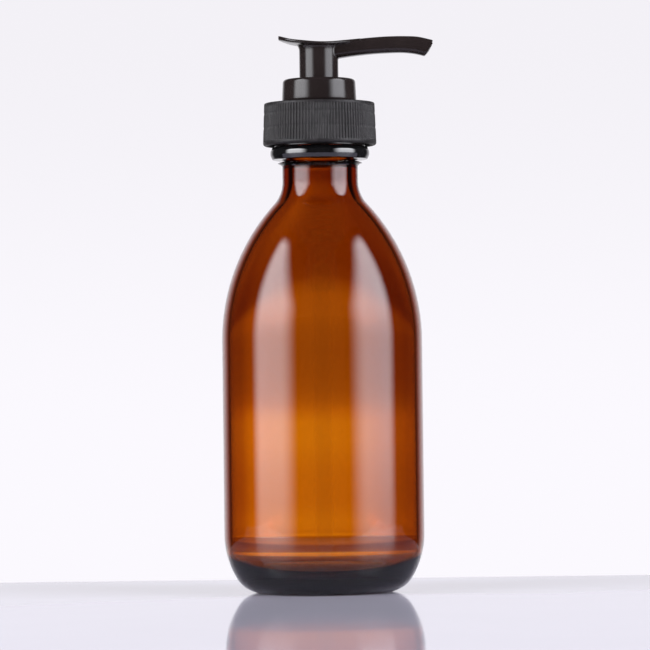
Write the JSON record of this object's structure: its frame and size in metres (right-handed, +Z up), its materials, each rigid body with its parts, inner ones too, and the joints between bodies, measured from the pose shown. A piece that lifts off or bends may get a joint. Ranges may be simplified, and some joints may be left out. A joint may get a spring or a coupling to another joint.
{
  "type": "pump bottle",
  "caption": "Amber glass bottle with a black lock-down lotion pump: the closure unscrews, the head turns and strokes on a spring, with piston, valve ball and dip tube inside.",
  "frame": {"origin": "middle of the flat ring that the bottle stands on", "axes": "+Z up the bottle's axis, +X the way the nozzle points"},
  "size_m": [0.0718, 0.067, 0.1865],
  "materials": {
    "amber_glass": "polished",
    "gloss_black": "gloss",
    "matte_black": "ribbed satin",
    "gasket_rubber": "soft white foam",
    "natural_plastic": "translucent natural"
  },
  "bodies": {
    "bottle": {"bottle": "amber_glass"},
    "tamper_ring": {"tamper_ring": "gloss_black"},
    "pump_body": {"housing": "natural_plastic", "chaplet": "gloss_black", "gasket": "gasket_rubber", "spring_seat": "natural_plastic", "dip_tube": "natural_plastic", "pump_spring": "natural_plastic"},
    "collar": {"closure": "gloss_black", "collar_shell": "matte_black"},
    "inlet_ball": {"inlet_ball": "natural_plastic"},
    "piston_rod": {"piston_rod": "natural_plastic"},
    "piston": {"piston": "natural_plastic"},
    "head": {"pump_head": "gloss_black", "stem": "gloss_black"}
  },
  "joints": [
    {"name": "ring_spin", "type": "hinge", "parent": "bottle", "child": "tamper_ring", "pos_m": [0, 0, 0.1468], "axis": [0, 0, 1], "continuous": true},
    {"name": "pump_lift", "type": "slide", "parent": "bottle", "child": "pump_body", "axis": [0, 0, 1], "range_m": [0, 0.00477]},
    {"name": "collar_turn", "type": "hinge", "parent": "pump_body", "child": "collar", "pos_m": [0, 0, 0.156], "axis": [0, 0, 1], "range_deg": [0, 540]},
    {"name": "ball_lift", "type": "slide", "parent": "pump_body", "child": "inlet_ball", "axis": [0, 0, 1], "range_m": [0, 0.0015]},
    {"name": "head_stroke", "type": "slide", "parent": "pump_body", "child": "piston_rod", "axis": [0, 0, 1], "range_m": [0, 0.0145], "stiffness_N_per_m": 380, "springref_m": 0.03, "deforming": ["pump_spring"]},
    {"name": "piston_slip", "type": "slide", "parent": "piston_rod", "child": "piston", "axis": [0, 0, 1], "range_m": [-0.0012, 0]},
    {"name": "head_swivel", "type": "hinge", "parent": "piston_rod", "child": "head", "pos_m": [0, 0, 0.1684], "axis": [0, 0, 1], "continuous": true}
  ],
  "couplings": [
    {"joint": "collar_turn", "follows": "pump_lift", "rad_per_m": 1975.8}
  ]
}
